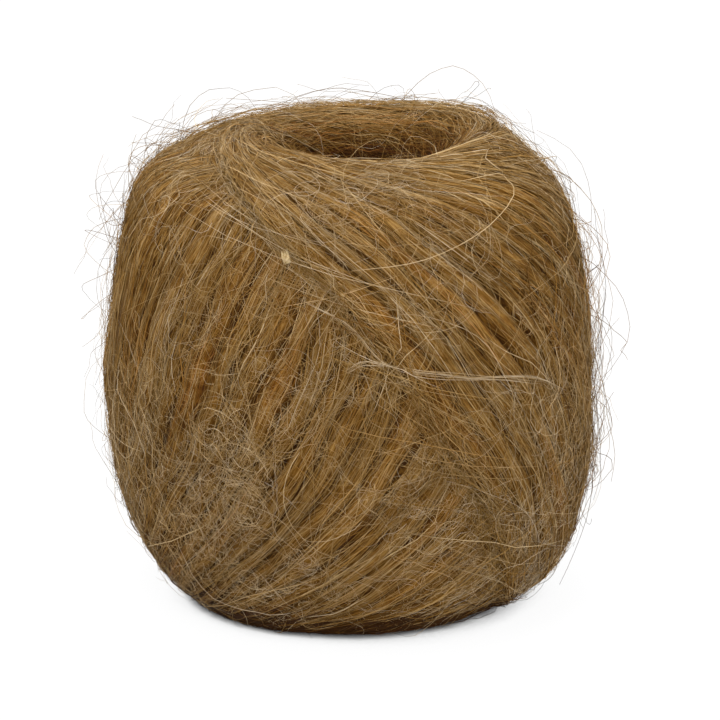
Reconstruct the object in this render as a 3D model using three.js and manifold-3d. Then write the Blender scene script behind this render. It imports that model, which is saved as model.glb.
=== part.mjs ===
// A ball of string: one soft strand of loosely spun bast tow, wound into an upright barrel with
// a hole down its middle. Millimetres, +Z up, origin on the surface it rests on, front at -Y.
//
// Every loop of the strand falls down one side of the ball on a slant and climbs the other side
// on the opposite slant, and the next loop lies beside it. So the ball shows two families of
// slanting strands, the falling and the climbing ones. Each family is made as one closed ring
// with its grid lines running along the strands, highest at the newest loop and sinking by two
// layers on the way round to the oldest. Joined together, they show at each place the family
// that lies on top, and the edge of the newest loop stands out as a step.

import * as THREE from "three";
import { mergeVertices } from "three/addons/utils/BufferGeometryUtils.js";
import Module from "manifold-3d";

const wasm = await Module();
wasm.setup();

// Driving sizes, in millimetres and degrees. Azimuths are 0 at the front and grow towards +X.
const HALF_HEIGHT = 49.2; // from mid-height to the crest that runs round the hole's mouth
const LOOPS = 52; // loops lying side by side in one turn of the ball
const LAYER = 1.9; // what one layer of pressed strands adds to the radius
const VALLEY = 1.0; // usual depth of the groove between two strands
const DEEPEST_GROOVE = 1.3; // of the usual depth, where two strands have parted
const STRAND_FLAT = [0.27, 0.73]; // where a strand's rounded top starts and ends, of its width
const NEWEST_LOOP = -104; // azimuth at which the newest loop crosses the top crest
// How far the strands run ahead of an even slant: skew at mid-height, and sway at the shoulders,
// ahead above and behind below.
const FALL_COURSE = { skew: 35, sway: 7.5 };
const CLIMB_COURSE = { skew: -46, sway: 10 };
const HOLE_LEAN = 5; // lean of the hole towards +X, going up
const SIDE_LEAN = 3.5; // lean of the lower sides the other way, towards +X going down
const LEAN_FADES = { from: 18, to: 40 }; // radii between which one lean gives way to the other
const FLAT_SPOT = 1.1; // height pressed flat where the ball rests
const FRONT_DIP = { depth: 4.5, from: 0.78, to: 0.98 }; // lower crest at the front, and where it
// sets in and is full, as shares of HALF_HEIGHT
const GROOVE_WANDER = 0.22; // sideways wander of a groove, of a strand's width
const STRAND_LIFT = 0.2; // how much higher or lower one strand lies than the next
const LUMPS = [ // broad unevenness of the winding: height, lobes round and along, and phase
  { height: 0.8, round: 2, along: 2, phase: 0.5 },
  { height: 0.35, round: 3, along: 2, phase: 2.1 },
  { height: 0.25, round: 5, along: 3, phase: 4.4 },
];

// Sections of the upper half, from the middle of the hole over the crest to the widest line; the
// lower half mirrors them. r and z give the place, slant is the strand's angle to the level,
// groove is the share of VALLEY, and stair the share of the sinking from newest to oldest loop.
const SECTIONS = [
  { r: 10.5, z: 0, slant: 66, groove: 0, stair: 0 },
  { r: 10.6, z: 20, slant: 64, groove: 0, stair: 0 },
  { r: 12.6, z: 35, slant: 50, groove: 0, stair: 0 },
  { r: 16.2, z: 43, slant: 36, groove: 0, stair: 0.1 },
  { r: 20.0, z: 47, slant: 28, groove: 0.6, stair: 0.2 },
  { r: 23.5, z: 48.8, slant: 26, groove: 0.6, stair: 0.25 },
  { r: 27.5, z: 49.2, slant: 30, groove: 0.65, stair: 0.35 },
  { r: 33.0, z: 47.8, slant: 42, groove: 0.75, stair: 0.55 },
  { r: 38.2, z: 44.4, slant: 48, groove: 0.9, stair: 1 },
  { r: 42.4, z: 39.2, slant: 48, groove: 1, stair: 1 },
  { r: 45.6, z: 31.6, slant: 47, groove: 1, stair: 1 },
  { r: 48.0, z: 22, slant: 48, groove: 1, stair: 1 },
  { r: 49.5, z: 11.5, slant: 50, groove: 1, stair: 1 },
  { r: 50.0, z: 0, slant: 51, groove: 1, stair: 1 },
];
const MOUTH = 5; // the section where a strand turns round at the top, between hole and crest

const radians = THREE.MathUtils.degToRad;
const TURN = 2 * Math.PI;

// A repeatable scatter between -1 and 1 for strand number n, from the usual sine hash.
const HASH = { perStrand: 12.9898, perSeed: 78.233, size: 43758.5453 };
function scatter(n, seed) {
  const wave = Math.sin(n * HASH.perStrand + seed * HASH.perSeed) * HASH.size;
  return 2 * (wave - Math.floor(wave)) - 1;
}

// The whole ring of sections: down the outside from the upper half to the mirrored lower half,
// then back up the hole. Each gets its outward direction and the length to the next section.
function ringOfSections() {
  const upper = SECTIONS.slice(1);
  const lower = SECTIONS.slice(1, -1).reverse().map((s) => ({ ...s, z: -s.z }));
  const ring = [SECTIONS[0], ...upper, ...lower].map((s) => ({ ...s }));
  ring.forEach((s, i) => {
    const before = ring[(i + ring.length - 1) % ring.length];
    const after = ring[(i + 1) % ring.length];
    const along = new THREE.Vector2(after.r - before.r, after.z - before.z).normalize();
    s.outR = -along.y;
    s.outZ = along.x;
    s.step = Math.hypot(after.r - s.r, after.z - s.z);
  });
  return ring;
}

// The azimuth that a strand has gone through at each section. From mouth to mouth down the
// outside it is half a turn, following the slants, and the hole's wall makes up the other half.
function addTurns(ring) {
  const last = ring.length - MOUTH;
  const advance = ring.map((s, i) => {
    const after = ring[(i + 1) % ring.length];
    const slant = radians((s.slant + after.slant) / 2);
    return s.step / Math.tan(slant) / ((s.r + after.r) / 2);
  });
  const outside = advance.slice(MOUTH, last).reduce((sum, a) => sum + a, 0);
  const inside = advance.reduce((sum, a) => sum + a, 0) - outside;
  let turn = 0;
  for (let n = 0; n < ring.length; n += 1) {
    const i = (MOUTH + n) % ring.length;
    ring[i].turn = turn;
    turn += advance[i] * (TURN / 2) / (n < last - MOUTH ? outside : inside);
  }
  return ring;
}

const RING = addTurns(ringOfSections());

// How far a family is sunk so that it lies a full layer under the other where their ages meet, and
// further where the stair is low: the climbing family at the top and the falling one at the
// bottom, and inside the hole likewise.
function sunk(section, falling) {
  const inHole = section.turn > TURN / 2;
  const share = inHole ? (section.z < 0 ? -1 : 1) : 1 - section.turn / (TURN / 4);
  const under = falling ? -share : share;
  return under > 0 ? LAYER * (under + 2 * (1 - section.stair)) : 0;
}

// Broad unevenness of the winding at an azimuth and height, and the dip of the crest.
function lumps(azimuth, z) {
  const level = (z / HALF_HEIGHT) * (TURN / 4);
  const atCrest = THREE.MathUtils.smoothstep(z / HALF_HEIGHT, FRONT_DIP.from, FRONT_DIP.to);
  const dip = FRONT_DIP.depth * atCrest * (0.5 + 0.5 * Math.cos(azimuth)) ** 2;
  return LUMPS.reduce(
    (sum, l) => sum + l.height * Math.sin(l.round * azimuth + l.along * level + l.phase), -dip);
}

// The hole leans one way; the upper sides stay upright and the lower ones lean the other way.
function leant(x, y, z) {
  const atSide = THREE.MathUtils.smoothstep(Math.hypot(x, y), LEAN_FADES.from, LEAN_FADES.to);
  const hole = z * Math.tan(radians(HOLE_LEAN));
  const side = -Math.min(z, 0) * Math.tan(radians(SIDE_LEAN));
  return [x + THREE.MathUtils.lerp(hole, side, atSide), y, z];
}

// The azimuth through which a family's strands have gone, once a loop has gone through turn.
function goneBy(turn, falling) {
  const { skew, sway } = falling ? FALL_COURSE : CLIMB_COURSE;
  const gone = turn + radians(skew) * Math.sin(turn) + radians(sway) * Math.sin(2 * turn);
  return falling ? gone : -gone;
}

// One family's points on one section: for each strand a groove and two points on its top, or
// inside the hole one point on its top. Each is { place, point }, place in strands round the ring.
function strandsOnSection(section, falling) {
  const gone = goneBy(section.turn, falling);
  const shares = section.groove > 0 ? [0, ...STRAND_FLAT] : [0.5];
  const seed = falling ? 1 : 2;
  const points = [];
  for (let strand = 0; strand < LOOPS; strand += 1) {
    shares.forEach((share) => {
      const inGroove = share === 0;
      const place = strand + share;
      const age = place === 0 ? 1 : place / LOOPS;
      const wander = scatter(strand, seed) * (inGroove ? GROOVE_WANDER : GROOVE_WANDER / 2);
      const azimuth = radians(NEWEST_LOOP) + (TURN * (place + wander)) / LOOPS + gone;
      const level = LAYER / 2 - 2 * LAYER * age * section.stair - sunk(section, falling);
      const depth = VALLEY * (1 + (DEEPEST_GROOVE - 1) * scatter(strand, seed + 2));
      const own = inGroove ? -depth : STRAND_LIFT * scatter(strand, seed + 4);
      const height = level + section.groove * (own + lumps(azimuth, section.z));
      const r = section.r + height * section.outR;
      const z = section.z + height * section.outZ;
      points.push({ place, point: leant(r * Math.sin(azimuth), -r * Math.cos(azimuth), z) });
    });
  }
  return points;
}

// Triangles between two neighbouring rows, each a list of { place, index } round the ring.
function zip(here, next) {
  const placeOf = (row, n) => row[n % row.length].place + LOOPS * Math.floor(n / row.length);
  const indexOf = (row, n) => row[n % row.length].index;
  const triangles = [];
  let h = 0;
  let n = 0;
  while (h < here.length || n < next.length) {
    const edge = [indexOf(here, h), indexOf(next, n)];
    if (n === next.length || (h < here.length && placeOf(here, h + 1) <= placeOf(next, n + 1))) {
      h += 1;
      triangles.push(...edge, indexOf(here, h));
    } else {
      n += 1;
      triangles.push(...edge, indexOf(next, n));
    }
  }
  return triangles;
}

// One family of strands as a closed ring-shaped solid.
function familyOfStrands(falling) {
  const positions = [];
  const rows = RING.map((section) => strandsOnSection(section, falling).map((p) => {
    positions.push(...p.point);
    return { place: p.place, index: positions.length / 3 - 1 };
  }));
  const geometry = new THREE.BufferGeometry();
  geometry.setAttribute("position", new THREE.Float32BufferAttribute(positions, 3));
  geometry.setIndex(rows.flatMap((row, i) => zip(row, rows[(i + 1) % rows.length])));
  return geometry;
}

function asSolid(geometry) {
  const bare = geometry.clone();
  bare.deleteAttribute("normal");
  bare.deleteAttribute("uv");
  const merged = mergeVertices(bare);
  return new wasm.Manifold(new wasm.Mesh({
    numProp: 3,
    vertProperties: merged.attributes.position.array,
    triVerts: Uint32Array.from(merged.index.array),
  }));
}

function asGeometry(solid) {
  const { vertProperties, triVerts } = solid.getMesh();
  const geometry = new THREE.BufferGeometry();
  geometry.setAttribute("position", new THREE.BufferAttribute(vertProperties, 3));
  geometry.setIndex(new THREE.BufferAttribute(triVerts, 1));
  return geometry;
}

// What the ball's weight presses flat, as a block reaching up to the flat spot.
function belowTheFlatSpot() {
  const side = 4 * HALF_HEIGHT;
  const block = new THREE.BoxGeometry(side, side, side);
  block.translate(0, 0, -HALF_HEIGHT + FLAT_SPOT - side / 2);
  return block;
}

function woundBall() {
  const falling = asSolid(familyOfStrands(true));
  const climbing = asSolid(familyOfStrands(false));
  const resting = falling.add(climbing).subtract(asSolid(belowTheFlatSpot()));
  const geometry = asGeometry(resting);
  geometry.computeBoundingBox();
  const { min, max } = geometry.boundingBox;
  geometry.translate(-(min.x + max.x) / 2, -(min.y + max.y) / 2, -min.z);
  const mesh = new THREE.Mesh(geometry, new THREE.MeshStandardMaterial({
    color: 0x775d3a,
    roughness: 0.95,
    metalness: 0,
  }));
  mesh.name = "wound_strand";
  return mesh;
}

const ball = new THREE.Group();
ball.add(woundBall());

export default ball;
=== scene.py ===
"""A ball of string: the looks of the wound strand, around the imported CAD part.

The ball is one soft strand of bast tow, wound into an upright barrel with a hole down its
middle. Every loop falls down one side on a slant and climbs the other side on the opposite
slant, so the strand shows as two families, the falling and the climbing one. Each family is a
ridged body here, and laid fibres, frizz and loose hairs follow its strands. Lengths are in
millimetres until a mesh is made, and Blender gets metres.
"""

import math

import bpy
import numpy as np
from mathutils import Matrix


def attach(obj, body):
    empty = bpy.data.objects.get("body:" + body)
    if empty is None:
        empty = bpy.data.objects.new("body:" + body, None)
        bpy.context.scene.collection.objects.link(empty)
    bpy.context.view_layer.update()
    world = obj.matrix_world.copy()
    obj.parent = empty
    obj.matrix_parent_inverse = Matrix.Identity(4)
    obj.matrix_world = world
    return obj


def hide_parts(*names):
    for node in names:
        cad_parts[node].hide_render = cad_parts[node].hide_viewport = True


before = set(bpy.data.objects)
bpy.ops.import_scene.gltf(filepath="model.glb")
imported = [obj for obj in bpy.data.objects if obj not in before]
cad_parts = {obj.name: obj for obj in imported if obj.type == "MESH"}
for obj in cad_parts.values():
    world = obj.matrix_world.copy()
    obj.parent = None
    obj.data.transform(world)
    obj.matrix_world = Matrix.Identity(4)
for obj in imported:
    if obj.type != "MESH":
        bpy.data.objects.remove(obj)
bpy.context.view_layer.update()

METRES = 0.001
SEED = 7
TURN = 2 * math.pi


# ---------------------------------------------------------------- camera, light and floor

PHOTO_SIDE = 720
PIXELS_PER_MM = 4.83
BALL_MIDDLE_PIXEL = (347, 349)
CAMERA_DISTANCE = 500
CAMERA_RISE = 15
SENSOR = 36
BALL_MIDDLE = np.array([0.0, 0.0, 51.0])
LIGHTS = (  # name, place and diameter in metres, watts
    ("key_light", (-0.25, -0.45, 0.95), 0.5, 10.6),
    ("top_light", (0.0, 0.1, 1.1), 0.6, 11.3),
    ("side_light", (0.8, -0.5, 0.5), 0.6, 4),
    ("front_light", (0.0, -0.95, 0.2), 0.7, 13),
)
LIGHTS_AIM = (0, 0, 0.05)
STUDIO_STRENGTH = 1.7
TABLE_REACH = 3.0  # half the table's side, in metres
TABLE_GREY = 0.03
TABLE_GLOW = 0.93
TABLE_PAINTED_SHADOWS = (  # painted contact shadows: how near in mm, and the open shares of the sky between which the glow rises
    (2, 0.0, 0.8),
    (150, 0.095, 0.15),
)
SHADE_SAMPLES = 8


def camera_axes():
    """Unit vectors to the right, up and towards the viewer of the camera."""
    rise = math.radians(CAMERA_RISE)
    up = np.array([0.0, math.sin(rise), math.cos(rise)])
    back = np.array([0.0, -math.cos(rise), math.sin(rise)])
    return np.array([1.0, 0.0, 0.0]), up, back


def camera_place():
    """Where the camera stands, in mm, so that the ball's middle shows at its pixel."""
    right, up, back = camera_axes()
    off_x = (PHOTO_SIDE / 2 - BALL_MIDDLE_PIXEL[0]) / PIXELS_PER_MM
    off_y = (BALL_MIDDLE_PIXEL[1] - PHOTO_SIDE / 2) / PIXELS_PER_MM
    return BALL_MIDDLE + right * off_x + up * off_y + back * CAMERA_DISTANCE


def add_camera():
    data = bpy.data.cameras.new("camera")
    data.sensor_width = SENSOR
    data.lens = SENSOR * CAMERA_DISTANCE * PIXELS_PER_MM / PHOTO_SIDE
    camera = bpy.data.objects.new("camera", data)
    camera.location = camera_place() * METRES
    camera.rotation_euler = (math.radians(90 - CAMERA_RISE), 0, 0)
    bpy.context.scene.collection.objects.link(camera)
    bpy.context.scene.camera = camera


def add_area_light(name, place, aim, size, power):
    data = bpy.data.lights.new(name, "AREA")
    data.shape = "DISK"
    data.size = size
    data.energy = power
    light = bpy.data.objects.new(name, data)
    light.location = place
    away = np.array(place, float) - np.array(aim, float)
    level = math.hypot(away[0], away[1])
    light.rotation_euler = (math.atan2(level, away[2]), 0, math.atan2(away[0], -away[1]))
    bpy.context.scene.collection.objects.link(light)


def open_to_sky(tree, distance, low, high):
    """An output that is 0 where the ball closes in over a place and 1 where it is open."""
    openness = tree.nodes.new("ShaderNodeAmbientOcclusion")
    openness.samples = SHADE_SAMPLES
    openness.inputs["Distance"].default_value = distance * METRES
    stretched = tree.nodes.new("ShaderNodeMapRange")
    stretched.inputs["From Min"].default_value = low
    stretched.inputs["From Max"].default_value = high
    tree.links.new(openness.outputs["AO"], stretched.inputs["Value"])
    return stretched.outputs["Result"]


def calc(tree, operation, *inputs):
    """The output of a maths node whose inputs are outputs or numbers."""
    made = tree.nodes.new("ShaderNodeMath")
    made.operation = operation
    for socket, value in zip(made.inputs, inputs):
        if isinstance(value, (int, float)):
            socket.default_value = value
        else:
            tree.links.new(value, socket)
    return made.outputs["Value"]


def table_material():
    """A light table that glows evenly, with a painted contact shadow: its glow is dimmed by ambient
    occlusion where the ball stands close over it.
    """
    material = bpy.data.materials.new("floor_white")
    material.use_nodes = True
    tree = material.node_tree
    shader = tree.nodes["Principled BSDF"]
    shader.inputs["Base Color"].default_value = (TABLE_GREY, TABLE_GREY, TABLE_GREY, 1)
    shader.inputs["Roughness"].default_value = 0.9
    shader.inputs["Specular IOR Level"].default_value = 0.1
    shader.inputs["Emission Color"].default_value = (1, 1, 1, 1)
    # painted shadow: the glow is dimmed where the ball closes in over the table
    open_share = calc(tree, "MULTIPLY", *(open_to_sky(tree, *shade) for shade in TABLE_PAINTED_SHADOWS))
    glow = calc(tree, "MULTIPLY", open_share, TABLE_GLOW)
    tree.links.new(glow, shader.inputs["Emission Strength"])
    return material


def add_light_and_floor():
    for name, place, size, power in LIGHTS:
        add_area_light(name, place, LIGHTS_AIM, size, power)
    world = bpy.data.worlds.new("studio")
    world.use_nodes = True
    sky = world.node_tree.nodes["Background"]
    sky.inputs["Color"].default_value = (1, 1, 1, 1)
    sky.inputs["Strength"].default_value = STUDIO_STRENGTH
    bpy.context.scene.world = world

    side = TABLE_REACH
    mesh = bpy.data.meshes.new("floor")
    corners = [(-side, -side, 0), (side, -side, 0), (side, side, 0), (-side, side, 0)]
    mesh.from_pydata(corners, [], [(0, 1, 2, 3)])
    floor = bpy.data.objects.new("floor", mesh)
    bpy.context.scene.collection.objects.link(floor)
    mesh.materials.append(table_material())
    bpy.context.scene.view_settings.view_transform = "Standard"


# ---------------------------------------------------------------- the wound form

# The same driving sizes as the part's source, in millimetres and degrees.
HALF_HEIGHT = 49.2
BALL_RADIUS = 50
LOOPS = 52
LAYER = 1.9
VALLEY = 1.0
DEEPEST_GROOVE = 1.3
NEWEST_LOOP = -104
FALL_COURSE = (35, 7.5)
CLIMB_COURSE = (-46, 10)
HOLE_LEAN = 5
SIDE_LEAN = 3.5
LEAN_FADES = (18, 40)
FLAT_SPOT = 1.1
GROOVE_WANDER = 0.22
STRAND_LIFT = 0.2
LUMPS = (  # height, lobes round, lobes along, phase
    (0.8, 2, 2, 0.5),
    (0.35, 3, 2, 2.1),
    (0.25, 5, 3, 4.4),
)
# Sections from the middle of the hole over the crest to the widest line: radius, height, the
# strand's slant to the level, share of VALLEY, share of the sinking from newest to oldest loop.
SECTIONS = (
    # r, z, slant, groove, stair
    (10.5, 0, 66, 0, 0),
    (10.6, 20, 64, 0, 0),
    (12.6, 35, 50, 0, 0),
    (16.2, 43, 36, 0, 0.1),
    (20.0, 47, 28, 0.6, 0.2),
    (23.5, 48.8, 26, 0.6, 0.25),
    (27.5, 49.2, 30, 0.65, 0.35),
    (33.0, 47.8, 42, 0.75, 0.55),
    (38.2, 44.4, 48, 0.9, 1),
    (42.4, 39.2, 48, 1, 1),
    (45.6, 31.6, 47, 1, 1),
    (48.0, 22, 48, 1, 1),
    (49.5, 11.5, 50, 1, 1),
    (50.0, 0, 51, 1, 1),
)
MOUTH = 5
FRONT_DIP = 4.5


def scatter(n, seed):
    """A repeatable scatter between -1 and 1 for strand number n, as in the part's source."""
    wave = np.sin(np.asarray(n, float) * 12.9898 + seed * 78.233) * 43758.5453
    return 2 * (wave - np.floor(wave)) - 1


def smooth_step(x, low, high):
    t = np.clip((x - low) / (high - low), 0, 1)
    return t * t * (3 - 2 * t)


def ring_of_sections():
    """The sections down the outside to the mirrored lower half and back up the hole."""
    upper = [list(s) for s in SECTIONS]
    lower = [[s[0], -s[1], *s[2:]] for s in SECTIONS[1:-1][::-1]]
    return np.array(upper + lower, float)


def turns_at_sections(ring):
    """The azimuth that a strand has gone through at each section, half a turn outside."""
    count = len(ring)
    after = np.roll(ring, -1, axis=0)
    step = np.hypot(after[:, 0] - ring[:, 0], after[:, 1] - ring[:, 1])
    slant = np.radians((ring[:, 2] + after[:, 2]) / 2)
    advance = step / np.tan(slant) / ((ring[:, 0] + after[:, 0]) / 2)
    last = count - MOUTH
    outside = advance[MOUTH:last].sum()
    inside = advance.sum() - outside
    turn = np.zeros(count)
    gone = 0.0
    for n in range(count):
        i = (MOUTH + n) % count
        turn[i] = gone
        gone += advance[i] * math.pi / (outside if n < last - MOUTH else inside)
    return turn


class Form:
    """The smooth profile through the sections, by length along it from the upper mouth."""

    def __init__(self, per_section=24):
        ring = ring_of_sections()
        turn = turns_at_sections(ring)
        table = np.roll(np.column_stack([ring, turn]), -MOUTH, axis=0)
        rows = []
        count = len(table)
        for i in range(count):
            p = [table[(i + k) % count].copy() for k in (-1, 0, 1, 2)]
            for k, shift in ((0, -TURN if i == 0 else 0), (2, TURN if i == count - 1 else 0),
                             (3, TURN if i >= count - 2 else 0)):
                p[k][5] += shift
            for t in np.arange(per_section) / per_section:
                curve = 0.5 * (2 * p[1] + (p[2] - p[0]) * t
                               + (2 * p[0] - 5 * p[1] + 4 * p[2] - p[3]) * t ** 2
                               + (3 * p[1] - p[0] - 3 * p[2] + p[3]) * t ** 3)
                curve[3:5] = np.clip(curve[3:5], 0, 1)
                rows.append(curve)
        first = rows[0].copy()
        first[5] += TURN
        rows = np.array([*rows, first])
        self.r, self.z, self.slant, self.groove, self.stair, self.turn = rows.T
        step = np.hypot(np.diff(self.r), np.diff(self.z))
        self.length = np.concatenate([[0], np.cumsum(step)])
        self.total = self.length[-1]
        along = np.column_stack([np.gradient(self.r), np.gradient(self.z)])
        along /= np.linalg.norm(along, axis=1)[:, None]
        self.out_r, self.out_z = -along[:, 1], along[:, 0]
        self.outside = float(np.interp(math.pi, self.turn, self.length))

    def at(self, name, length):
        return np.interp(np.mod(length, self.total), self.length, getattr(self, name))

    def turn_at(self, length):
        rounds = np.floor(length / self.total)
        return self.at("turn", length) + TURN * rounds


form = Form()


CROSSING = 8  # half of the height over which the families change places in the hole


def sunk(length, falling):
    """How far a family lies under the other one's level, in mm."""
    turn = np.mod(form.turn_at(length), TURN)
    z = form.at("z", length)
    share = np.where(turn > math.pi, np.clip(z / CROSSING, -1, 1), 1 - turn / (TURN / 4))
    under = np.maximum(-share if falling else share, 0)
    return LAYER * under * (3 - 2 * form.at("stair", length))


def level(length, place, falling):
    """Height of a family's strand tops over the profile, newest highest."""
    age = np.mod(place, LOOPS) / LOOPS
    return LAYER / 2 - 2 * LAYER * age * form.at("stair", length) - sunk(length, falling)


def gone_by(turn, falling):
    """The azimuth that a family's strands have gone through, once a loop has gone by turn."""
    skew, sway = FALL_COURSE if falling else CLIMB_COURSE
    gone = turn + math.radians(skew) * np.sin(turn) + math.radians(sway) * np.sin(2 * turn)
    return gone if falling else -gone


def azimuth_of(length, place, falling):
    return math.radians(NEWEST_LOOP) + TURN * place / LOOPS + gone_by(form.turn_at(length), falling)


def place_of(length, azimuth, falling):
    """The place in strands that a family has at an azimuth."""
    gone = gone_by(form.turn_at(length), falling)
    return np.mod((azimuth - math.radians(NEWEST_LOOP) - gone) / TURN * LOOPS, LOOPS)


def climb(length, falling):
    """How far a strand gets along the profile for each mm of its own run."""
    ahead = gone_by(form.turn_at(length + 0.5), falling)
    behind = gone_by(form.turn_at(length - 0.5), falling)
    return 1 / np.hypot(1, form.at("r", length) * (ahead - behind))


def pitch(length, falling):
    """Width of a strand across its run, in mm."""
    return TURN * form.at("r", length) / LOOPS * climb(length, falling)


def wave_along(length, strand, seed, waves):
    """A sine along a groove or strand, with a phase of its own, that closes round the profile."""
    phase = math.pi * scatter(np.mod(strand, LOOPS), seed)
    return np.sin(TURN * waves * length / form.total + phase)


def parting(length, groove, falling):
    """0 where two strands lie close and up to 1 where the groove between them opens."""
    seed = 11 if falling else 12
    both = (1 + wave_along(length, groove, seed, 4)) * (1 + wave_along(length, groove, seed + 2, 7))
    return (both / 4) ** 1.6


def groove_offset(length, groove, falling):
    """Sideways wander of a groove, in strand widths."""
    seed = 1 if falling else 2
    sway = (0.10 * wave_along(length, groove, seed + 20, 6)
            + 0.06 * wave_along(length, groove, seed + 22, 15))
    return GROOVE_WANDER * scatter(np.mod(groove, LOOPS), seed) + sway


def wander(length, place, falling):
    """Sideways wander of a place, between those of the grooves beside it."""
    strand = np.floor(place)
    share = place - strand
    here = groove_offset(length, strand, falling)
    there = groove_offset(length, strand + 1, falling)
    return here * (1 - share) + there * share


def relief(length, place, falling, depth_factor):
    """Height of the surface over the strand tops' level: own lift, and grooves cut down."""
    seed = 1 if falling else 2
    strand = np.floor(place)
    share = place - strand
    beside = np.where(share < 0.5, strand, strand + 1)
    deep = VALLEY * (1 + (DEEPEST_GROOVE - 1) * scatter(np.mod(beside, LOOPS), seed + 2))
    parted = parting(length, beside, falling)
    lift = STRAND_LIFT * scatter(np.mod(strand, LOOPS), seed + 4)
    shape = np.abs(2 * share - 1) ** (2.6 + 6 * parted)
    return lift * (1 - shape) - deep * depth_factor * (0.8 + 1.4 * parted) * shape


def lumps(azimuth, z):
    """Broad unevenness of the winding, and the dip of the crest at the front."""
    rise = z / HALF_HEIGHT * (TURN / 4)
    dip = FRONT_DIP * smooth_step(z / HALF_HEIGHT, 0.78, 0.98) * (0.5 + 0.5 * np.cos(azimuth)) ** 2
    return sum(h * np.sin(n * azimuth + m * rise + p) for h, n, m, p in LUMPS) - dip


def over_profile(length, azimuth, up):
    """Points at a height over the smooth profile, in the row's frame."""
    r = form.at("r", length) + up * form.at("out_r", length)
    z = form.at("z", length) + up * form.at("out_z", length)
    x, y = r * np.sin(azimuth), -r * np.cos(azimuth)
    at_side = smooth_step(np.abs(r), *LEAN_FADES)
    hole = z * math.tan(math.radians(HOLE_LEAN))
    side = -np.minimum(z, 0) * math.tan(math.radians(SIDE_LEAN))
    x = x + hole + (side - hole) * at_side
    return np.stack([x, y, z + HALF_HEIGHT - FLAT_SPOT], axis=-1)


def family_height(length, place, falling, depth_factor):
    """Height of a family's own surface over the smooth profile."""
    azimuth = azimuth_of(length, place, falling)
    rough = relief(length, place, falling, depth_factor) + lumps(azimuth, form.at("z", length))
    return level(length, place, falling) + form.at("groove", length) * rough


def on_family(length, place, falling, height, depth_factor):
    """Points at a height over a family's own surface."""
    azimuth = azimuth_of(length, place + wander(length, place, falling), falling)
    up = family_height(length, place, falling, depth_factor) + height
    return over_profile(length, azimuth, up)


def on_ball(length, azimuth, height, depth_factor=0.3):
    """Points at a height over whichever family shows there."""
    both = [family_height(length, place_of(length, azimuth, falling), falling, depth_factor)
            for falling in (True, False)]
    return over_profile(length, azimuth, np.maximum(*both) + height)


# ---------------------------------------------------------------- meshes from arrays


def make_object(name, points, quads, triangles, uv_sets, values, face_values, material):
    """A piece from numpy arrays: points in mm, faces, corner UVs, point and face values."""
    mesh = bpy.data.meshes.new(name)
    corners = np.concatenate([quads.ravel(), triangles.ravel()]).astype(np.int32)
    starts = np.concatenate([
        np.arange(len(quads)) * 4,
        len(quads) * 4 + np.arange(len(triangles)) * 3,
    ]).astype(np.int32)
    mesh.vertices.add(len(points))
    mesh.loops.add(len(corners))
    mesh.polygons.add(len(starts))
    mesh.vertices.foreach_set("co", (points * METRES).astype(np.float32).ravel())
    mesh.loops.foreach_set("vertex_index", corners)
    mesh.polygons.foreach_set("loop_start", starts)
    mesh.update(calc_edges=True)
    mesh.shade_smooth()
    for title, uv in uv_sets.items():
        layer = mesh.uv_layers.new(name=title)
        layer.data.foreach_set("uv", uv.astype(np.float32).ravel())
    for domain, named in (("POINT", values), ("FACE", face_values)):
        for title, value in named.items():
            attribute = mesh.attributes.new(title, "FLOAT", domain)
            attribute.data.foreach_set("value", value.astype(np.float32).ravel())
    mesh.materials.append(material)
    piece = bpy.data.objects.new(name, mesh)
    bpy.context.scene.collection.objects.link(piece)
    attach(piece, "root")
    return piece


POINTS_ACROSS = (0, 0.08, 0.28, 0.5, 0.72, 0.92)  # a strand's points, in strand widths
OUTER_ROWS, INNER_ROWS = 72, 16  # rows of points down the outside and up the hole
BODY_DEPTH = 1.4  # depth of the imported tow's grooves, as a share of VALLEY
STREAK_PITCH = 4.5  # mm of a strand's run to one unit of its streaks


def family_body(name, falling, material):
    """One family of strands as a closed ridged ring."""
    place = (np.arange(LOOPS)[:, None] + np.array(POINTS_ACROSS)).ravel()
    outer = np.linspace(0, form.outside, OUTER_ROWS, endpoint=False)
    inner = np.linspace(form.outside, form.total, INNER_ROWS, endpoint=False)
    length = np.concatenate([outer, inner])
    rows, columns = len(length), len(place)
    grid_l, grid_p = np.meshgrid(length, place, indexing="ij")
    # The step down from the newest strand's edge starts at the oldest loop's level.
    drop = np.where(grid_p == 0, -2 * LAYER * form.at("stair", grid_l), 0)
    points = on_family(grid_l, grid_p, falling, drop, BODY_DEPTH)
    points[..., 2] = np.maximum(points[..., 2], 0)
    row, column = np.meshgrid(np.arange(rows), np.arange(columns), indexing="ij")
    next_row, next_column = (row + 1) % rows, (column + 1) % columns
    quads = np.stack([
        row * columns + column,
        next_row * columns + column,
        next_row * columns + next_column,
        row * columns + next_column,
    ], axis=-1).reshape(-1, 4)
    across = np.append(place, LOOPS)
    lengths = np.append(length, form.total)
    own_u = np.stack([across[column], across[column], across[column + 1], across[column + 1]], -1)
    own_v = np.stack([lengths[row], lengths[row + 1], lengths[row + 1], lengths[row]], -1)
    strand_uv = np.stack([own_u, own_v / STREAK_PITCH], -1).reshape(-1, 2)
    bake_uv = np.stack([own_u / LOOPS, own_v / form.total], -1).reshape(-1, 2)
    share = grid_p - np.floor(grid_p)
    # nearness to the groove between strands, where the body's material paints shade
    groove = np.abs(2 * share - 1) ** 3
    tone, hue = shade_of(grid_l, grid_p, falling)
    empty = np.zeros((0, 3), int)
    values = {"groove": groove, "tone": tone, "hue": hue}
    return make_object(name, points.reshape(-1, 3), quads, empty,
                       {"OFBake": bake_uv, "strand": strand_uv}, values, {}, material)


SIDES = 3
SIDE_CONTRAST = 0.09
LOWEST = 0.02  # fibres stay this high over the table, in mm


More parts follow.
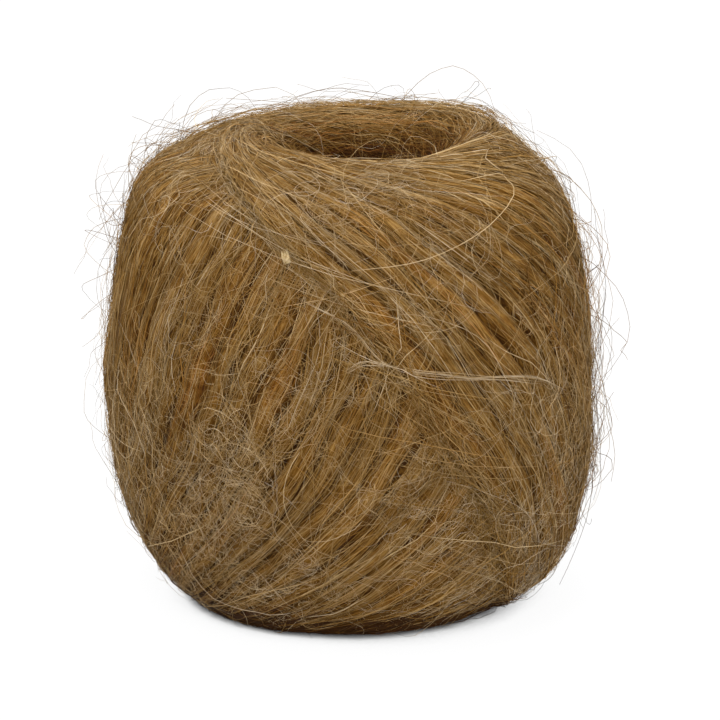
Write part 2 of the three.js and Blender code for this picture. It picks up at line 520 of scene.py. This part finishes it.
def tubes(rng, name, paths, radii, tone, hue, material):
    """Many closed three-sided fibres in one mesh. paths is fibres x points x 3."""
    fibres, steps = paths.shape[:2]
    tangent = np.gradient(paths, axis=1)
    tangent /= np.linalg.norm(tangent, axis=2, keepdims=True) + 1e-9
    outward = paths - BALL_MIDDLE
    across = np.cross(tangent, outward)
    across /= np.linalg.norm(across, axis=2, keepdims=True) + 1e-9
    other = np.cross(tangent, across)
    roll = rng.uniform(0, TURN, fibres)[:, None, None, None]
    angle = roll + (TURN * np.arange(SIDES) / SIDES)[:, None]
    points = (paths[:, :, None]
              + radii[:, :, None, None] * (np.cos(angle) * across[:, :, None]
                                           + np.sin(angle) * other[:, :, None]))
    points[..., 2] = np.maximum(points[..., 2], LOWEST)
    first = (np.arange(fibres) * steps * SIDES)[:, None, None]
    step = (np.arange(steps - 1) * SIDES)[None, :, None]
    side = np.arange(SIDES)[None, None, :]
    after = (side + 1) % SIDES
    quads = np.stack([
        first + step + side,
        first + step + after,
        first + step + SIDES + after,
        first + step + SIDES + side,
    ], axis=-1).reshape(-1, 4)
    start = first[:, 0, 0]
    end = start + (steps - 1) * SIDES
    caps = np.concatenate([
        np.stack([start, start + 2, start + 1], -1),
        np.stack([end, end + 1, end + 2], -1),
    ])
    # Each fibre's faces get a cell of their own in the map that a bake goes through.
    cells = math.ceil(math.sqrt(fibres))
    corner = np.stack([np.arange(fibres) % cells, np.arange(fibres) // cells], -1) / cells
    inset, span = 0.06 / cells, 0.88 / cells
    u = np.array([[s, s + 1, s + 1, s] for s in range(SIDES)]) / SIDES
    v = np.array([[0, 0, 1, 1]]) + np.arange(steps - 1)[:, None]
    v = v / (steps - 1) * 0.86 + 0.07
    uv = np.stack(np.broadcast_arrays(u[None, :, :], v[:, None, :]), -1)
    quad_uv = corner[:, None, None, None, :] + inset + uv[None] * span
    cap = np.array([[0.0, 0.0], [1.0, 0.0], [0.5, 0.06]])
    low = corner[:, None, :] + inset + cap * span
    high = corner[:, None, :] + inset + (1 - cap) * span
    bake_uv = np.concatenate([quad_uv.reshape(-1, 2), low.reshape(-1, 2), high.reshape(-1, 2)])
    # A fibre is a bundle of finer ones, so its sides differ in tone.
    by_side = tone[:, None, None] + rng.normal(0, SIDE_CONTRAST, (fibres, 1, SIDES))
    tones = np.repeat(by_side, steps - 1, axis=1).ravel()
    tones = np.concatenate([tones, tone, tone])
    hues = np.concatenate([np.repeat(hue, (steps - 1) * SIDES), hue, hue])
    return make_object(name, points.reshape(-1, 3), quads, caps, {"OFBake": bake_uv},
                       {}, {"tone": tones, "hue": hues}, material)


# ---------------------------------------------------------------- materials


def node(tree, kind, **inputs):
    made = tree.nodes.new(kind)
    for name, value in inputs.items():
        made.inputs[name.replace("_", " ")].default_value = value
    return made


def ramp(tree, stops):
    made = tree.nodes.new("ShaderNodeValToRGB")
    elements = made.color_ramp.elements
    while len(elements) < len(stops):
        elements.new(0.5)
    for element, (position, colour) in zip(elements, stops):
        element.position = position
        element.color = (*colour, 1)
    return made


BODY_PAINTED_SHADE = 0.22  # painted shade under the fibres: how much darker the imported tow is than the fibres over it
FIBRE_COLOURS = (
    (0.0, (0.022, 0.008, 0.001)),
    (0.25, (0.070, 0.030, 0.003)),
    (0.5, (0.140, 0.077, 0.019)),
    (0.75, (0.208, 0.139, 0.061)),
    (1.0, (0.320, 0.246, 0.150)),
)
# Hue from a greyish beige over golden brown to rust, as a tint of the colours above.
HUES = (
    (0.0, (0.84, 0.90, 1.15)),
    (0.3, (0.93, 0.94, 1.02)),
    (0.5, (0.98, 0.95, 0.89)),
    (0.7, (1.02, 0.88, 0.70)),
    (1.0, (0.98, 0.58, 0.38)),
)


# Radii and heights in mm between which a tone sets in: painted shade inside the hole, deeper in its
# upper end, outside of it, painted shade under the ball over its lowest point, and a painted sheen
# on the crest.
HOLE_RADII, PAINTED_HOLE_SHADE_TOP = (12, 19.5), (12, 32)
OUTSIDE_RADII = (19, 25)
UNDERSIDE_PAINTED_SHADE = (-HALF_HEIGHT + 1.6, -HALF_HEIGHT + 6.5)
CREST_PAINTED_SHEEN = (0.5 * HALF_HEIGHT, 0.95 * HALF_HEIGHT)


def shade_of(length, place, falling):
    """Tone and hue of the strands: patches that run along each strand, 0.5 in the middle, with
    painted shade in the hole and under the ball and a painted sheen on the crest.
    """
    strand = np.floor(place)
    seed = 31 if falling else 32
    tone = 0.5 + 0.07 * scatter(np.mod(strand, LOOPS), seed)
    tone = tone + (0.05 * wave_along(length, strand, seed + 2, 5)
                   * wave_along(length, strand, seed + 4, 3))
    hue = 0.46 + 0.10 * scatter(np.mod(strand, LOOPS), seed + 6)
    hue = (hue + 0.09 * wave_along(length, strand, seed + 8, 4)
           + 0.08 * wave_along(length, strand, seed + 10, 9))
    r, z = form.at("r", length), form.at("z", length)
    inside = 1 - smooth_step(r, *HOLE_RADII)
    outside = smooth_step(r, *OUTSIDE_RADII)
    # painted shade: the underside is darkened just over where the ball rests on the table
    painted_underside_shade = (1 - smooth_step(z, *UNDERSIDE_PAINTED_SHADE)) * outside
    # painted sheen: the crest is paler and less rust-coloured
    painted_crest_sheen = smooth_step(z, *CREST_PAINTED_SHEEN) * outside
    # painted shade: darker inside the hole, most in its upper end; the rustier hue there is the
    # tow's own colour
    painted_hole_shade = (0.24 + 0.5 * smooth_step(z, *PAINTED_HOLE_SHADE_TOP)) * inside
    tone = tone - painted_hole_shade - 1.2 * painted_underside_shade + 0.05 * painted_crest_sheen
    return tone, hue + 0.2 * inside - 0.10 * painted_crest_sheen


def own(function, length, place, falling):
    """What a function of the family gives for places on either family."""
    return np.where(falling, function(length, place, True), function(length, place, False))


def own_shade(length, place, falling):
    """Tones and hues of places on either family."""
    return own(shade_of, length, place, falling)


MOTTLE = 0.45  # range of the tone within a fibre


def attribute(tree, name):
    read = tree.nodes.new("ShaderNodeAttribute")
    read.attribute_name = name
    return read.outputs["Fac"]


def string_material(name, painted_groove_shade, streak_scale, streak_strength):
    """Bast fibre: tone and hue from the mesh, streaked along the strands and mottled; on the body,
    painted shade darkens the grooves and the whole layer under the fibres.
    """
    material = bpy.data.materials.new(name)
    material.use_nodes = True
    tree = material.node_tree
    link = tree.links.new
    shader = tree.nodes["Principled BSDF"]
    place = tree.nodes.new("ShaderNodeTexCoord")
    mottle = node(tree, "ShaderNodeTexNoise", Scale=300, Detail=3, Roughness=0.6)
    link(place.outputs["Object"], mottle.inputs["Vector"])
    lower = calc(tree, "SUBTRACT", attribute(tree, "tone"), MOTTLE / 2)
    value = calc(tree, "MULTIPLY_ADD", mottle.outputs["Fac"], MOTTLE, lower)
    if streak_strength:
        uv = tree.nodes.new("ShaderNodeUVMap")
        uv.uv_map = "strand"
        stretch = tree.nodes.new("ShaderNodeMapping")
        stretch.inputs["Scale"].default_value = (streak_scale, 1.2, 1)
        streaks = node(tree, "ShaderNodeTexNoise", Scale=1, Detail=5, Roughness=0.7)
        link(uv.outputs["UV"], stretch.inputs["Vector"])
        link(stretch.outputs["Vector"], streaks.inputs["Vector"])
        value = calc(tree, "MULTIPLY_ADD", streaks.outputs["Fac"], streak_strength, value)
        # painted shade: the body is darker towards the grooves between strands
        value = calc(tree, "MULTIPLY_ADD", attribute(tree, "groove"), -painted_groove_shade, value)
        # painted shade under the fibres: the body is darker all over
        value = calc(tree, "SUBTRACT", value, streak_strength / 2 + BODY_PAINTED_SHADE)
        bump = node(tree, "ShaderNodeBump", Strength=0.9, Distance=0.0004)
        link(streaks.outputs["Fac"], bump.inputs["Height"])
        link(bump.outputs["Normal"], shader.inputs["Normal"])
    colours = ramp(tree, FIBRE_COLOURS)
    tints = ramp(tree, HUES)
    tinted = tree.nodes.new("ShaderNodeMix")
    tinted.data_type = "RGBA"
    tinted.blend_type = "MULTIPLY"
    tinted.inputs["Factor"].default_value = 1
    link(value, colours.inputs["Fac"])
    link(attribute(tree, "hue"), tints.inputs["Fac"])
    link(colours.outputs["Color"], tinted.inputs[6])
    link(tints.outputs["Color"], tinted.inputs[7])
    link(tinted.outputs[2], shader.inputs["Base Color"])
    shader.inputs["Roughness"].default_value = 0.65
    shader.inputs["Specular IOR Level"].default_value = 0.05
    return material


# ---------------------------------------------------------------- fibres


def wavering(rng, fibres, steps, knots):
    """Smooth random offsets along each fibre, between about -1 and 1."""
    values = rng.uniform(-1, 1, (fibres, knots + 1))
    t = np.linspace(0, knots, steps)
    low = np.minimum(t.astype(int), knots - 1)
    blend = t - low
    blend = blend * blend * (3 - 2 * blend)
    return values[:, low] * (1 - blend) + values[:, low + 1] * blend


def clipped_lognormal(rng, count, middle, spread, low, high):
    return np.clip(rng.lognormal(math.log(middle), spread, count), low, high)


def scattered(rng, values, spread):
    """Values with a random part of their own for each fibre."""
    return values + rng.normal(0, spread, len(values))


def pointed(thick, steps, end=(0.8, 0.25)):
    """Thickness along fibres that start and end in a point."""
    return thick[:, None] * np.array([0.3, 0.8] + [1.0] * (steps - 4) + list(end))


def thinning(thick, steps):
    """Thickness along fibres that get thinner towards their free end."""
    return thick[:, None] * np.linspace(1, 0.5, steps)


COVERED_BY = 0.9  # height of the other family over a place that hides it, in mm


def covered(length, place, falling):
    """Whether the other family lies over a family's surface there."""
    other = place_of(length, azimuth_of(length, place, falling), not falling)
    return level(length, other, not falling) > level(length, place, falling) + COVERED_BY


TANGLED_PATCHES = (  # waves round, waves along, phase
    (3, 2, 0.4),
    (5, -4, 2.2),
    (8, 7, 4.1),
    (13, -9, 1.3),
)


def tangled(length, azimuth):
    """Share of the frizz that stands at a place, from bare to tangled patches."""
    a, b = azimuth, length / form.total * TURN
    patches = sum(np.sin(m * a + n * b + phase) for m, n, phase in TANGLED_PATCHES)
    return smooth_step(patches - form.at("z", length) / HALF_HEIGHT, -2.2, 2.4)


def starts(rng, count, low, high, patchy=False, window=None):
    """Random places on the showing surface: lengths, places and families.

    A window gives lowest and highest azimuth in degrees, and lowest and highest level.
    """
    found = [[], [], []]
    while sum(len(f) for f in found[0]) < count:
        length = rng.uniform(low, high, 4 * count)
        keep = rng.uniform(0, 50, len(length)) < form.at("r", length)
        length = length[keep]
        place = rng.uniform(0, LOOPS, len(length))
        falling = rng.uniform(size=len(length)) < 0.5
        hidden = own(covered, length, place, falling)
        azimuth = own(azimuth_of, length, place, falling)
        if patchy:
            hidden |= rng.uniform(size=len(length)) > tangled(length, azimuth)
        if window:
            round_by = np.mod(np.degrees(azimuth) - window[0], 360)
            z = form.at("z", length)
            hidden |= (round_by > window[1] - window[0]) | (z < window[2]) | (z > window[3])
        for store, values in zip(found, (length, place, falling)):
            store.append(values[~hidden])
    return [np.concatenate(f)[:count] for f in found]


OPENING = 0.16  # half of a groove's opening, in strand widths, where it parts most


def combed(length, place, falling):
    """Places drawn away from the grooves where these open."""
    strand = np.floor(place)
    here = OPENING * parting(length, strand, falling)
    there = OPENING * parting(length, strand + 1, falling)
    return strand + here + (place - strand) * (1 - here - there)


def follow(rng, length, place, falling, run, steps, drift, wave, lift):
    """Paths that run along the strands from their middle points.

    run is each fibre's length, drift its slope across the strands, wave its sideways
    wavering in mm, and lift its height over the strand's top at each step.
    """
    paths = np.empty((len(length), steps, 3))
    half = steps // 2
    share = np.linspace(-0.5, 0.5, steps)
    across = drift[:, None] * share * run[:, None]
    across = across + wave[:, None] * wavering(rng, len(run), steps, 4)
    for family in (True, False):
        rows = falling == family
        pace = run[rows] / (steps - 1)
        l = np.empty((rows.sum(), steps))
        l[:, half] = length[rows]
        for k in range(half + 1, steps):
            l[:, k] = l[:, k - 1] + pace * climb(l[:, k - 1], family)
        for k in range(half - 1, -1, -1):
            l[:, k] = l[:, k + 1] - pace * climb(l[:, k + 1], family)
        p = place[rows, None] + across[rows] / np.maximum(pitch(l, family), 1.5)
        p = combed(l, p, family)
        paths[rows] = on_family(l, p, family, lift[rows], 0.8)
    return paths


LAID_RUN = (26, 0.4, 10, 50)  # middle, spread of the logarithm, least and most, in mm
LAID_THICKNESS = (0.064, 0.35, 0.035, 0.15)
CROSSING_FROM, WAVY_FROM, ARCHED_FROM = 0.75, 0.6, 0.85  # of a fibre's kind, from 0 to 1
LOOSE_ENDED = 0.10  # share of the fibres
LOOSE_AFTER = 0.6  # share of the run after which a loose end lifts


def laid_fibres(rng, name, count, low, high, material):
    """Fibres lying along the strands, most of them flat and some arched or crossing."""
    steps = 6
    length, place, falling = starts(rng, count, low, high)
    run = clipped_lognormal(rng, count, *LAID_RUN)
    kind = rng.uniform(size=count)
    drift = rng.normal(0, 0.05, count)
    drift = drift + np.where(kind > CROSSING_FROM, rng.normal(0, 0.25, count), 0)
    wave = np.where(kind > WAVY_FROM, 1.2, 0.45) * rng.uniform(0.3, 1, count)
    t = np.linspace(0, 1, steps)
    arch = np.where(kind > ARCHED_FROM, rng.uniform(0.2, 1.0, count), rng.uniform(0, 0.2, count))
    lift = rng.uniform(-0.15, 0.2, count)[:, None] + arch[:, None] * np.sin(math.pi * t)
    lift += 0.10 * wavering(rng, count, steps, 5)
    loose_end = (rng.uniform(size=count) < LOOSE_ENDED) * rng.uniform(0.3, 1.5, count)
    lift += loose_end[:, None] * np.clip(t - LOOSE_AFTER, 0, 1) ** 2 * 6
    paths = follow(rng, length, place, falling, run, steps, drift, wave, lift)
    thick = clipped_lognormal(rng, count, *LAID_THICKNESS)
    tones, hues = own_shade(length, place, falling)
    tone, hue = scattered(rng, tones, 0.13), scattered(rng, hues, 0.10)
    return tubes(rng, name, paths, pointed(thick, steps), tone, hue, material)


def frizz_paths(rng, count, steps, run, reach, curl, window=None, attached=0.6):
    """Curly paths over the surface, with the shades of the strands that they start on."""
    length, place, falling = starts(rng, count, 2, form.outside + 2, not window, window)
    azimuth = own(azimuth_of, length, place, falling)
    run = rng.uniform(*run, count)
    pace = run / (steps - 1)
    climbs = np.where(falling, climb(length, True), climb(length, False))
    along = np.where(falling, 1, -1) * np.arccos(climbs)
    heading = np.where(rng.uniform(size=count) < 0.6, along + rng.normal(0, 0.7, count),
                       rng.uniform(0, TURN, count))
    heading += math.pi * (rng.uniform(size=count) < 0.5)
    bend = rng.normal(0, curl, count)
    turning = (bend[:, None] + 2 * curl * wavering(rng, count, steps, 4)) / steps
    lengths = np.empty((count, steps))
    azimuths = np.empty((count, steps))
    for k in range(steps):
        lengths[:, k], azimuths[:, k] = length, azimuth
        heading = heading + turning[:, k]
        length = length + pace * np.cos(heading)
        azimuth = azimuth + pace * np.sin(heading) / np.maximum(form.at("r", length), 6)
    t = np.linspace(0, 1, steps)
    low = smooth_step(form.at("z", lengths).min(axis=1), -0.85 * HALF_HEIGHT, -0.3 * HALF_HEIGHT)
    high = rng.uniform(0.05, 1, count) ** 2 * (reach[1] - reach[0]) * low + reach[0]
    both_ends = rng.uniform(size=count) < attached
    rise = np.where(both_ends[:, None], np.sin(math.pi * t), t ** 0.8) * high[:, None]
    rise += 0.15 * high[:, None] * wavering(rng, count, steps, 5) * t
    paths = on_ball(lengths, azimuths, rise)
    return paths, *own_shade(lengths[:, 0], place, falling)


FRIZZ_PALER = 0.20
LOW_FRIZZ_PALER = 0.10  # on top of it, as far as LOW_FRIZZ_DEPTH below the middle, in mm
LOW_FRIZZ_DEPTH = 28


def frizz(rng, name, count, steps, run, reach, thickness, curl, material):
    """Curly loose fibres over the surface: run, reach and thickness give their ranges."""
    paths, tones, hues = frizz_paths(rng, count, steps, run, reach, curl)
    return as_frizz(rng, name, paths, tones + FRIZZ_PALER, hues, thickness, material)


def as_frizz(rng, name, paths, tones, hues, thickness, material):
    """Thin fibres along paths, paler in the ball's lower half."""
    count, steps = paths.shape[:2]
    thick = rng.uniform(*thickness, count)
    lower = smooth_step(BALL_MIDDLE[2] - paths[:, steps // 2, 2], 0, LOW_FRIZZ_DEPTH)
    tone = scattered(rng, tones + LOW_FRIZZ_PALER * lower, 0.12)
    hue = scattered(rng, hues - 0.06, 0.10)
    return tubes(rng, name, paths, thinning(thick, steps), tone, hue, material)


STRAY_HAIRS = (
    # azimuths in degrees from and to, levels in mm, count, run, reach, curl, thickness
    (76, 106, -12, 44, 60, (24, 48), (3, 12), 0.5, (0.055, 0.085)),
    (70, 112, -32, 42, 110, (10, 24), (0.8, 5), 0.9, (0.03, 0.055)),
    (76, 108, -40, -16, 60, (14, 34), (2, 10), 0.7, (0.05, 0.08)),
    (140, 240, 40, 50, 44, (18, 40), (3, 10), 0.6, (0.05, 0.08)),
    (120, 250, 36, 50, 170, (8, 22), (0.8, 5), 0.9, (0.03, 0.055)),
    (-125, -62, 22, 47, 130, (10, 28), (1, 9), 0.8, (0.04, 0.07)),
    (-120, -74, -38, 20, 90, (10, 26), (1, 6), 0.8, (0.03, 0.055)),
)


STRAY_DARKER = 0.14
STRAY_ATTACHED = 0.25  # share of the hairs that are held at both ends


def stray_hairs(rng, name, share, material):
    """Longer hairs that stand off the outline in tufts."""
    steps = 12
    parts = []
    for a, b, low, high, count, run, reach, curl, thickness in STRAY_HAIRS:
        count = int(count * share)
        window = (a, b, low, high)
        found = frizz_paths(rng, count, steps, run, reach, curl, window, STRAY_ATTACHED)
        parts.append((*found, rng.uniform(*thickness, count)))
    paths, tones, hues, thick = (np.concatenate([p[k] for p in parts]) for k in range(4))
    tone = scattered(rng, tones - STRAY_DARKER, 0.12)
    return tubes(rng, name, paths, thinning(thick, steps), tone, hues, material)


EDGE_THICKNESS = (0.035, 0.07)  # also of the fibres at the mouth


def edge_fibres(rng, name, count, material):
    """Fibres down the step at the newest loop's edge, some along it and some across."""
    steps = 8
    run = rng.uniform(8, 34, count)
    place = rng.uniform(-0.6, 0.4, count)
    length = rng.uniform(0, form.outside, count)
    falling = rng.uniform(size=count) < 0.6
    slope = np.where(rng.uniform(size=count) < 0.5,
                     rng.normal(0, 0.3, count), rng.normal(0, 1.8, count))
    slide = slope[:, None] * np.linspace(-1, 1, steps) + 0.3 * wavering(rng, count, steps, 5)
    arch = np.sin(math.pi * np.linspace(0, 1, steps))
    high = rng.uniform(0, 0.5, (count, 1)) + 0.3 * np.abs(slope)[:, None] * arch
    paths = np.empty((count, steps, 3))
    for family in (True, False):
        rows = falling == family
        ahead = (run[rows] * climb(length[rows], family))[:, None]
        l = length[rows, None] + np.linspace(-0.5, 0.5, steps) * ahead
        p = place[rows, None] + slide[rows]
        azimuth = azimuth_of(l, p + groove_offset(l, 0, family), family)
        rough = form.at("groove", l) * lumps(azimuth, form.at("z", l))
        down = 2 * LAYER * form.at("stair", l) * (1 - smooth_step(p, -0.5, 0.12))
        own = level(l, 0, family) + rough - down
        other = level(l, place_of(l, azimuth, not family), not family) + rough
        paths[rows] = over_profile(l, azimuth, np.maximum(own, other) + high[rows])
    tones, hues = own_shade(length, np.zeros(count), falling)
    thick = rng.uniform(*EDGE_THICKNESS, count)
    tone, hue = scattered(rng, tones + 0.08, 0.15), scattered(rng, hues - 0.05, 0.1)
    return tubes(rng, name, paths, pointed(thick, steps), tone, hue, material)


MOUTH_FAR_SIDE = (100, 265)  # azimuths in degrees
MOUTH_LENGTHS = (-13, 11)  # along the profile, in mm from the upper mouth


def mouth_fibres(rng, name, count, material):
    """Fibres that run level round the far side of the hole's mouth."""
    steps = 9
    run = rng.uniform(8, 26, count)
    azimuth = np.radians(rng.uniform(*MOUTH_FAR_SIDE, count))
    length = rng.uniform(*MOUTH_LENGTHS, count)
    t = np.linspace(-0.5, 0.5, steps)
    sag = rng.normal(0, 0.12, (count, 1)) * run[:, None] * t + 0.9 * wavering(rng, count, steps, 4)
    lengths = length[:, None] + sag
    azimuths = azimuth[:, None] + run[:, None] * t / np.maximum(form.at("r", lengths), 9)
    high = 1 + 0.7 * smooth_step(length, 2, 8)
    rise = rng.uniform(0.1, 1.3, (count, 1)) * high[:, None] + 0.4 * wavering(rng, count, steps, 4)
    paths = on_ball(lengths, azimuths, rise)
    tones, hues = own_shade(length, rng.uniform(0, LOOPS, count), np.ones(count, bool))
    thick = rng.uniform(*EDGE_THICKNESS, count)
    tone, hue = scattered(rng, tones + 0.06, 0.14), scattered(rng, hues + 0.12, 0.1)
    return tubes(rng, name, paths, pointed(thick, steps), tone, hue, material)


# ---------------------------------------------------------------- single things that stand out

# Pixels of the photograph that these go through.
PALE_BUNDLE = ((346, 371), (364, 363), (389, 366), (440, 374), (477, 379), (530, 378), (561, 391))
EDGE_WISP = ((298, 296), (346, 324), (376, 357), (395, 367), (440, 375), (500, 378), (540, 382))
PALE_ARC = ((351, 271), (420, 262), (477, 233), (505, 205), (509, 190), (494, 178), (456, 186))
SHIVE = (287, 258)
SWIRLS = ((250, 455), (243, 507), (218, 432))


def pixels_of(points):
    """The photograph's pixels at which points in mm show."""
    right, up, back = camera_axes()
    seen = points - camera_place()
    scale = CAMERA_DISTANCE * PIXELS_PER_MM / -(seen @ back)
    across, down = scale * (seen @ right), -scale * (seen @ up)
    return np.stack([PHOTO_SIDE / 2 + across, PHOTO_SIDE / 2 + down], -1)


SEARCH_GRID = (360, 480)  # places along the profile and round the front


def surface_at(pixels):
    """Lengths and azimuths of the places on the front that show at pixels."""
    lengths, azimuths = np.meshgrid(np.linspace(2, form.outside, SEARCH_GRID[0]),
                                    np.radians(np.linspace(-90, 90, SEARCH_GRID[1])))
    seen = pixels_of(on_ball(lengths, azimuths, 0))
    nearest = [np.argmin(((seen - pixel) ** 2).sum(axis=-1)) for pixel in pixels]
    return lengths.ravel()[nearest], azimuths.ravel()[nearest]


def through(knots, steps):
    """A smooth row of values through knots."""
    count = len(knots)
    padded = np.concatenate([[2 * knots[0] - knots[1]], knots, [2 * knots[-1] - knots[-2]]])
    t = np.linspace(0, count - 1, steps)
    i = np.minimum(t.astype(int), count - 2)
    t = t - i
    a, b, c, d = (padded[i + k] for k in range(4))
    return 0.5 * (2 * b + (c - a) * t + (2 * a - 5 * b + 4 * c - d) * t ** 2
                  + (3 * b - a - 3 * c + d) * t ** 3)


def wisp(rng, name, pixels, count, steps, spread, rise, thickness, tone, hue, material):
    """Fibres that run together through pixels of the photograph."""
    lengths, azimuths = (through(knots, steps) for knots in surface_at(pixels))
    side = spread * (wavering(rng, count, steps, 5) + rng.normal(0, 0.5, (count, 1)))
    ahead = spread * (wavering(rng, count, steps, 5) + rng.normal(0, 0.5, (count, 1)))
    paths = on_ball(lengths + side, azimuths + ahead / BALL_RADIUS, rise + 0.3 * np.abs(side))
    thick = rng.uniform(*thickness, count)
    tones = scattered(rng, np.full(count, tone), 0.05)
    hues = np.full(count, hue)
    return tubes(rng, name, paths, pointed(thick, steps, (0.7, 0.2)), tones, hues, material)


SHIVE_OUTLINE = ((-0.95, -1.2), (0.6, -1.45), (0.85, 0.1), (0.95, 1.2), (-0.5, 1.4), (-0.75, 0.2))
SHIVE_RISE = (0.25, 0.95, 1.0, 0.45, 0.3, 0.9)  # height of each of its corners, in mm
SHIVE_TURNED = -12
SHIVE_THICKNESS = 0.4


def shive(name, material):
    """A chip of the plant's woody core, caught under the fibres."""
    length, azimuth = surface_at([SHIVE])
    outline = np.array(SHIVE_OUTLINE)
    turned = math.radians(SHIVE_TURNED)
    across = outline[:, 0] * math.cos(turned) - outline[:, 1] * math.sin(turned)
    down = outline[:, 0] * math.sin(turned) + outline[:, 1] * math.cos(turned)
    rise = np.array(SHIVE_RISE)
    layers = [on_ball(length + down, azimuth + across / BALL_RADIUS, rise + thick)
              for thick in (0.0, SHIVE_THICKNESS)]
    points = np.concatenate([*layers, *(layer.mean(axis=0, keepdims=True) for layer in layers)])
    n = len(outline)
    k = np.arange(n)
    after = (k + 1) % n
    quads = np.stack([k, k + n, after + n, after], -1)
    low, high = 2 * n, 2 * n + 1
    triangles = np.concatenate([
        np.stack([np.full(n, low), k, after], -1),
        np.stack([np.full(n, high), after + n, k + n], -1),
    ])
    flat = (np.stack([across, down], -1) + 1.5) / 3
    flat = np.concatenate([flat * 0.5, flat * 0.5 + 0.5, [[0.25, 0.25], [0.75, 0.75]]])
    corners = np.concatenate([quads.ravel(), triangles.ravel()])
    make_object(name, points, quads, triangles, {"OFBake": flat[corners]}, {}, {}, material)


def shive_material():
    material = bpy.data.materials.new("shive_wood")
    material.use_nodes = True
    tree = material.node_tree
    shader = tree.nodes["Principled BSDF"]
    place = tree.nodes.new("ShaderNodeTexCoord")
    grain = node(tree, "ShaderNodeTexNoise", Scale=1500, Detail=3, Roughness=0.6)
    colours = ramp(tree, ((0.3, (0.22, 0.16, 0.075)), (0.7, (0.33, 0.25, 0.13))))
    tree.links.new(place.outputs["Object"], grain.inputs["Vector"])
    tree.links.new(grain.outputs["Fac"], colours.inputs["Fac"])
    tree.links.new(colours.outputs["Color"], shader.inputs["Base Color"])
    shader.inputs["Roughness"].default_value = 0.7
    shader.inputs["Specular IOR Level"].default_value = 0.2
    return material


SWIRL_RADII = (1.0, 6.5)
SWIRL_SWEEPS = (1.0, 4.5)
SWIRL_SPREAD = 1.6  # of the middles round their place, in mm
SWIRL_PALER = 0.24


def swirls(rng, name, count, material):
    """Arcs of fibre that lie round a place, as a small eddy in the frizz."""
    steps = 12
    centres, azimuths = surface_at(SWIRLS)
    which = rng.integers(len(SWIRLS), size=count)
    radius = rng.uniform(*SWIRL_RADII, count)
    start = rng.uniform(0, TURN, count)
    sweep = rng.uniform(*SWIRL_SWEEPS, count) * rng.choice([-1, 1], count)
    angle = start[:, None] + sweep[:, None] * np.linspace(0, 1, steps)
    angle = angle + 0.5 * wavering(rng, count, steps, 5)
    radii = radius[:, None] * (1 + 0.4 * wavering(rng, count, steps, 3))
    middle = centres[which] + rng.normal(0, SWIRL_SPREAD, count)
    lengths = middle[:, None] + radii * np.sin(angle)
    round_to = azimuths[which] + rng.normal(0, SWIRL_SPREAD / 48, count)
    azimuth = round_to[:, None] + radii * np.cos(angle) / form.at("r", lengths)
    rise = rng.uniform(0.3, 2.0, (count, 1)) + 0.4 * wavering(rng, count, steps, 4)
    paths = on_ball(lengths, azimuth, rise)
    tones, hues = own_shade(middle, rng.uniform(0, LOOPS, count), np.zeros(count, bool))
    return as_frizz(rng, name, paths, tones + SWIRL_PALER, hues, (0.033, 0.05), material)


# ---------------------------------------------------------------- the ball


LAID_LENGTHS = (-14, form.outside + 6)  # from inside the upper mouth to inside the lower one
HOLE_LENGTHS = (form.outside + 6, form.total - 14)
LAID_PER_PIECE, IN_HOLE, AT_EDGE, AT_MOUTH, IN_SWIRLS = 4900, 700, 1000, 560, 150
FRIZZ = (  # name, count, points to a fibre, run, reach, thickness, curl
    ("fine_frizz_1", 2900, 8, (5, 15), (0.08, 1.3), (0.032, 0.050), 3.8),
    ("fine_frizz_2", 2900, 8, (5, 15), (0.08, 1.3), (0.032, 0.050), 3.8),
    ("long_frizz", 1600, 12, (10, 28), (0.3, 3.0), (0.033, 0.052), 3.6),
    ("loose_hairs", 220, 12, (12, 34), (2, 9), (0.035, 0.06), 1.6),
    ("soft_haze", 600, 9, (6, 18), (0.8, 3.4), (0.02, 0.032), 2.0),
)
WISPS = (  # name, pixels, count, points to a fibre, spread, rise, thickness, tone, hue
    ("pale_bundle", PALE_BUNDLE, 6, 20, 0.45, 0.8, (0.038, 0.06), 0.82, 0.2),
    ("edge_wisp", EDGE_WISP, 3, 20, 0.35, 0.8, (0.04, 0.06), 0.82, 0.2),
    ("pale_arc", PALE_ARC, 1, 24, 0.05, 1.2, (0.078, 0.085), 0.97, 0.4),
)


def main():
    share = 1
    rng = np.random.default_rng(SEED)
    body = string_material("packed_tow", 0.3, 14, 1.8)
    fibre = string_material("bast_fibre", 0, 0, 0)
    falling = family_body("falling_strands", True, body)
    family_body("climbing_strands", False, body)
    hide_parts("wound_strand")
    for n in (1, 2):
        laid_fibres(rng, f"laid_fibres_{n}", int(LAID_PER_PIECE * share), *LAID_LENGTHS, fibre)
    laid_fibres(rng, "hole_fibres", int(IN_HOLE * share), *HOLE_LENGTHS, fibre)
    edge_fibres(rng, "edge_fibres", int(AT_EDGE * share), fibre)
    mouth_fibres(rng, "mouth_fibres", int(AT_MOUTH * share), fibre)
    for name, count, *looks in FRIZZ:
        frizz(rng, name, int(count * share), *looks, fibre)
    swirls(rng, "swirls", int(IN_SWIRLS * share), fibre)
    for name, pixels, *looks in WISPS:
        wisp(rng, name, pixels, *looks, fibre)
    shive("shive", shive_material())
    stray_hairs(rng, "stray_hairs", share, fibre)


add_camera()
add_light_and_floor()
main()
